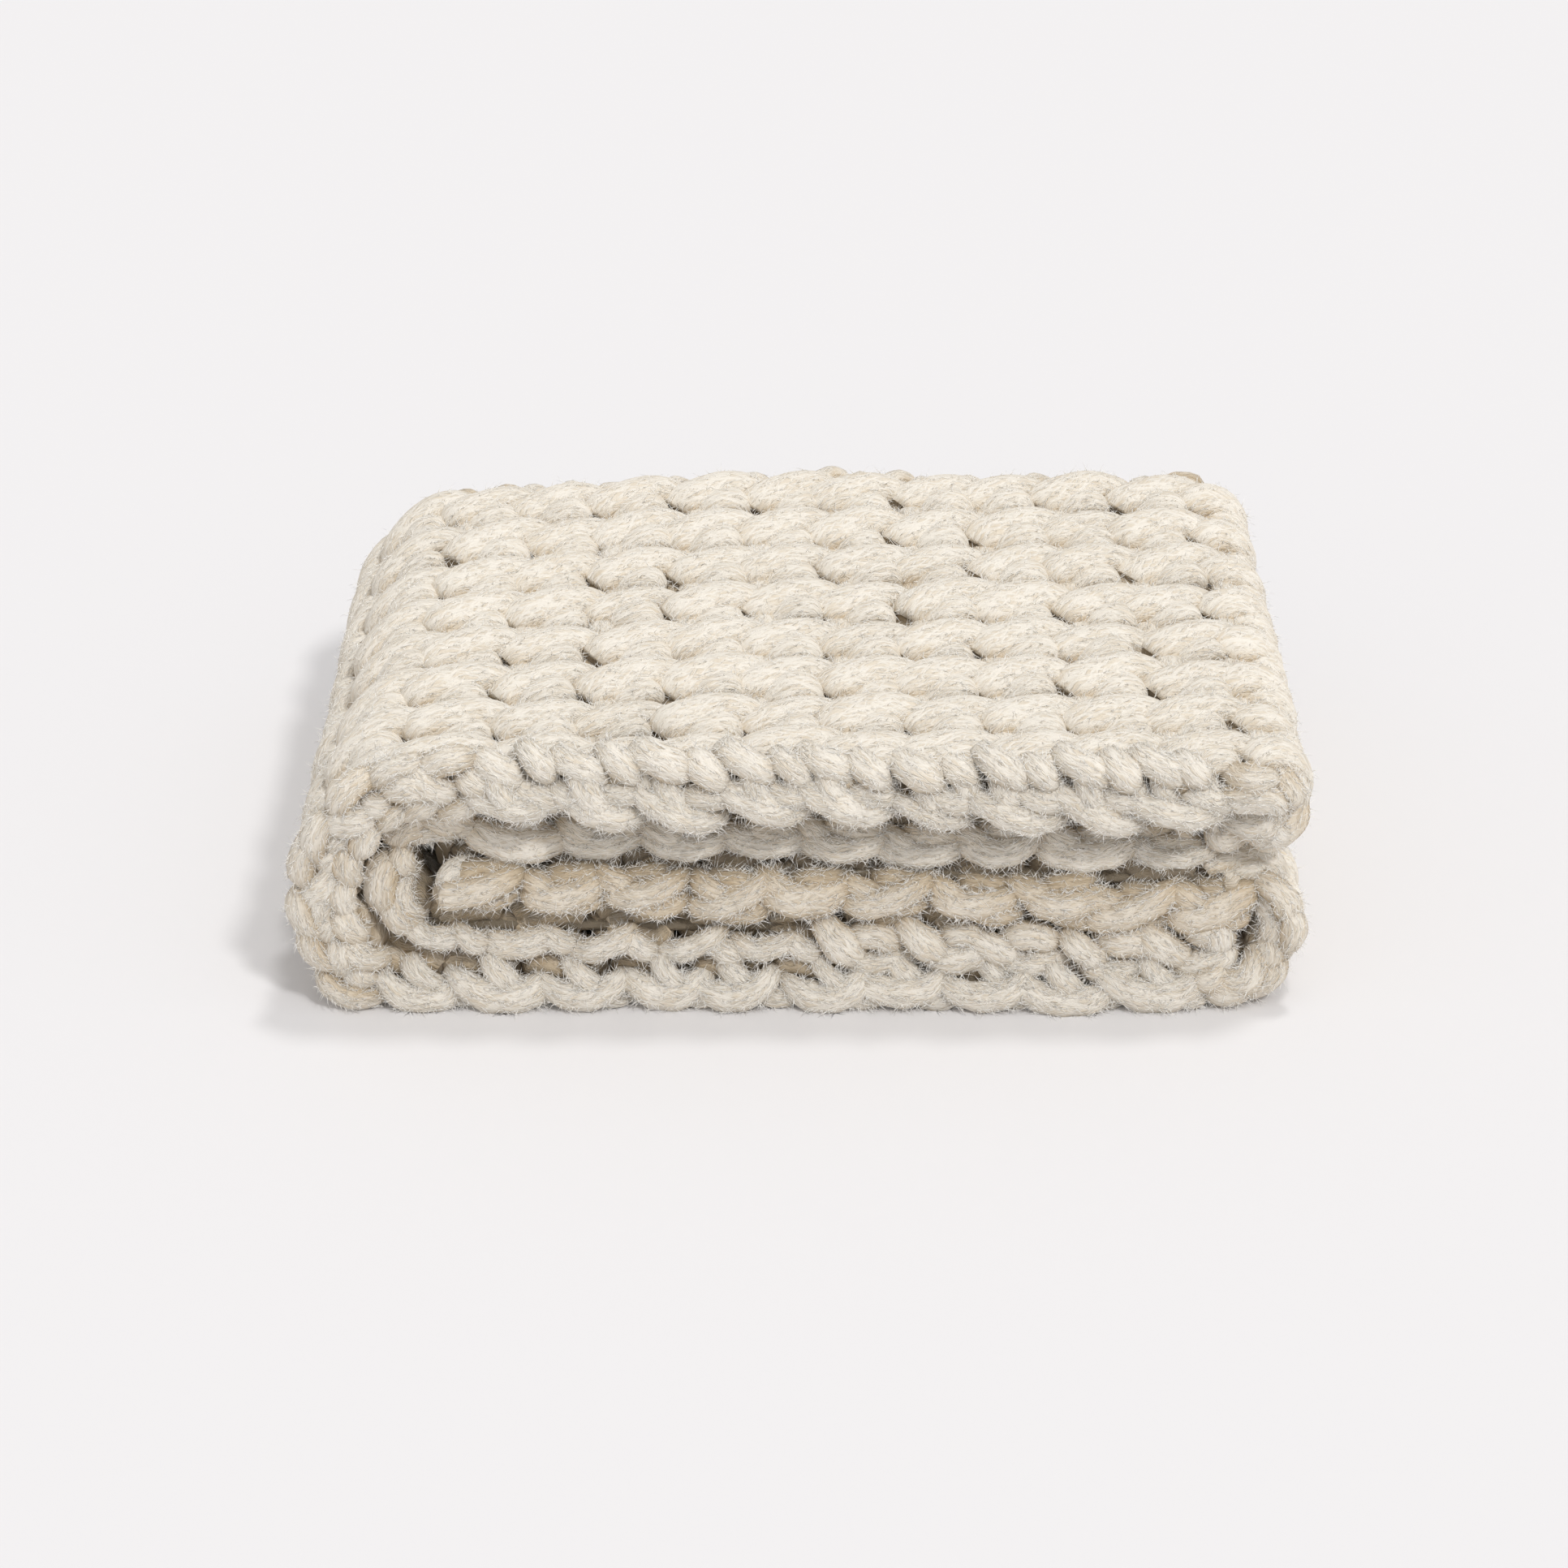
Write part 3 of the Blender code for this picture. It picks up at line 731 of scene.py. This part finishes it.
def endRope(yarn, along):
    half = strip["depth"] / 2
    across = np.linspace(-half + rope["inset"], half - rope["inset"], rope["points"])
    winding = across / rope["twistRun"]
    place = np.full_like(across, along) + rope["twist"][0] * np.sin(winding)
    over = rope["twist"][1] * np.cos(winding)
    fat = 1 + rope["swell"] * np.sin(winding + 1)
    yarn.addTube(onStrip(place, across, over), outward(place, across, over), rope["half"][0] * fat,
                 rope["half"][1] * fat, rope["sides"], start=rope["pattern"] + along, sunk=rope["sunk"])


endYarn = YarnMesh(rope["fibres"])
endRope(endYarn, rope["seat"])
endRope(endYarn, stripLength - rope["seat"])
knitPieces.append(endYarn.toObject("endRopes", wool))
print("laid the ropes at the free ends")

# Fuzz: loose fibres of the brushed yarn, each a thin closed spike of four faces
fuzz = {
    "faceFuzz": (61, (0, -0.35, 0.94)),      # seed, and the side of the strands that the fibres stand on
    "edgeFuzz": (62, (0, -0.94, 0.35)),
    "thick": 0.36,            # mm, as are the lengths
    "flat": 1.6,              # a root's height against half its width
    "root": 0.15,             # mm inside the strand
    "short": 2.0,
    "long": 6.5,
    "lift": 1.0,              # how far the fibres stand up for each mm along the yarn, on average
    "stray": 0.48,            # and how far they stray from that
    "facing": 0.1,            # only roots that face their side by more than this get a fibre
    "most": 46000,
}


def brushedFuzz(name, roots):
    seed, facing = fuzz[name]
    chance = np.random.default_rng(seed)
    roots = np.concatenate(roots)
    roots = roots[unit(roots[:, 3:6]) @ np.array(facing) > fuzz["facing"]]
    chance.shuffle(roots)
    roots = roots[:fuzz["most"]]
    amount = len(roots)
    skin, out, run = roots[:, 0:3], unit(roots[:, 3:6]), roots[:, 6:9]
    sense = np.where(chance.random(amount) < 0.5, -1, 1)[:, None]
    way = run * sense + out * chance.gamma(2.0, fuzz["lift"] / 2, amount)[:, None]
    way = unit(way + chance.normal(0, fuzz["stray"], (amount, 3)), 0)
    length = chance.uniform(fuzz["short"], fuzz["long"], amount)[:, None]
    side = unit(np.cross(way, out))
    up = np.cross(side, way)
    base = skin - out * fuzz["root"]
    half = fuzz["thick"] / 2
    corners = [base + side * half, base - side * half, base + up * half * fuzz["flat"], base + way * length]
    first = np.arange(amount)[:, None] * 4
    faces = np.concatenate([first + [0, 1, 3], first + [1, 2, 3], first + [2, 0, 3], first + [0, 2, 1]])
    return addPiece(name, np.stack(corners, axis=1).reshape(-1, 3), faces.ravel(), np.full(len(faces), 3),
                    looseFibre)


fuzzPieces = [brushedFuzz("faceFuzz", yarns["ridgesSeen"].roots),
              brushedFuzz("edgeFuzz", edgeYarns["frontEdge"].roots + endYarn.roots)]
knitPieces += fuzzPieces
print("brushed up", [len(piece.data.polygons) for piece in fuzzPieces], "faces of fuzz")

# The matted web of loose fibres that spans the small holes between the loops, coloured with the painted
# shade of the holes
web = {
    "thick": 3.0,
    "inset": 12.0,            # from the long edges, and from the strip's ends
    "endInset": 5,
    "alongStep": 9.0,
    "acrossStep": 10.0,
    "underFace": 11.6,        # mm under the face, for its painted shade
}


def fibreWeb():
    half = strip["depth"] / 2 - web["inset"]
    alongs = np.linspace(web["endInset"], stripLength - web["endInset"], int(stripLength / web["alongStep"]))
    acrosses = np.linspace(-half, half, int(2 * half / web["acrossStep"]))
    grid = np.meshgrid(alongs, acrosses, indexing="ij")
    rows, columns = len(alongs), len(acrosses)
    points = [onStrip(grid[0], grid[1], np.full_like(grid[0], side * web["thick"] / 2)).reshape(-1, 3)
              for side in (1, -1)]
    first = rows * columns
    faces = []
    for i in range(rows - 1):
        for j in range(columns - 1):
            corner = [i * columns + j, i * columns + j + 1, (i + 1) * columns + j + 1, (i + 1) * columns + j]
            faces.append(corner[::-1])
            faces.append([first + c for c in corner])
    rim = list(range(columns)) + [i * columns + columns - 1 for i in range(1, rows)]
    rim += [(rows - 1) * columns + j for j in range(columns - 2, -1, -1)]
    rim += [i * columns for i in range(rows - 2, 0, -1)]
    for a, b in zip(rim, rim[1:] + rim[:1]):
        faces.append([a, b, first + b, first + a])
    mesh = bpy.data.meshes.new("fibreWeb")
    mesh.from_pydata((np.concatenate(points) * mm).tolist(), [], faces)
    mesh.shade_smooth()
    mesh.materials.append(wool)
    mesh.uv_layers.new(name="yarnRun")
    depthMap = mesh.uv_layers.new(name="underFace")
    depth = np.tile([web["underFace"] / underScale, 0.0], (len(mesh.loops), 1))
    depthMap.data.foreach_set("uv", depth.astype(np.float32).ravel())
    piece = bpy.data.objects.new("fibreWeb", mesh)
    bpy.context.scene.collection.objects.link(piece)
    return piece


webPiece = fibreWeb()
print("laid the fibre web")

for piece in knitPieces + [webPiece]:
    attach(piece, "root")
    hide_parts("throw")

# Pale studio floor: matt grey paper with hardly any shine, half its width in metres
paper = {"half": 8, "colour": "#E5E3E3", "specular": 0.1}
corners = [(x * paper["half"], y * paper["half"], 0) for x, y in ((-1, -1), (1, -1), (1, 1), (-1, 1))]
floorMesh = bpy.data.meshes.new("studioFloor")
floorMesh.from_pydata(corners, [], [(0, 1, 2, 3)])
floor = bpy.data.objects.new("studioFloor", floorMesh)
bpy.context.scene.collection.objects.link(floor)
floorMesh.materials.append(mattFinish("matPaper", paper["colour"], paper["specular"]))

# Soft light from the upper right and behind, and an even pale room
light = {
    "room": "#FBFBFC",
    "roomSpan": (-0.8, 0.8),        # the room fades from front to back, over these parts of its sphere
    "roomStrength": (0.84, 0.44),
    "windows": {              # strength, spread, lean towards the front and towards the right, in degrees
        "frontWindow": (1.24, 8, 32, 26),
        "backWindow": (0.77, 9, -11, 12),
    },
}
world = bpy.data.worlds.new("paleRoom")
world.use_nodes = True
background = world.node_tree.nodes["Background"]
background.inputs["Color"].default_value = linearColour(light["room"])
roomPlace = addNode(world.node_tree, "ShaderNodeTexCoord")
roomAxes = addNode(world.node_tree, "ShaderNodeSeparateXYZ", Vector=roomPlace.outputs["Generated"])
roomFade = addRange(world.node_tree, roomAxes.outputs["Y"], light["roomSpan"], light["roomStrength"])
world.node_tree.links.new(roomFade, background.inputs["Strength"])
bpy.context.scene.world = world
for name, (strength, spread, front, right) in light["windows"].items():
    sunData = bpy.data.lights.new(name, "SUN")
    sunData.energy = strength
    sunData.angle = math.radians(spread)
    sun = bpy.data.objects.new(name, sunData)
    sun.rotation_euler = (math.radians(front), math.radians(right), 0)
    bpy.context.scene.collection.objects.link(sun)

# Camera at the photograph's angle: degrees down, metres up, back from the front edge and aside, lens in mm
shot = {"down": 28.0, "height": 0.8318, "back": 1.350, "aside": -0.0077, "lens": 83.24, "sensor": 36.0}
cameraData = bpy.data.cameras.new("shot")
cameraData.lens = shot["lens"]
cameraData.sensor_width = shot["sensor"]
camera = bpy.data.objects.new("shot", cameraData)
camera.location = (shot["aside"], -strip["depth"] / 2 * mm - shot["back"], shot["height"])
camera.rotation_euler = (math.radians(90 - shot["down"]), 0, 0)
bpy.context.scene.collection.objects.link(camera)
bpy.context.scene.camera = camera
bpy.context.scene.view_settings.view_transform = "Standard"

triangles = {p.name: sum(len(f.vertices) - 2 for f in p.data.polygons) for p in knitPieces + [webPiece]}
print("triangles", triangles, "in all", sum(triangles.values()))
print("camera, lights and floor are in place")
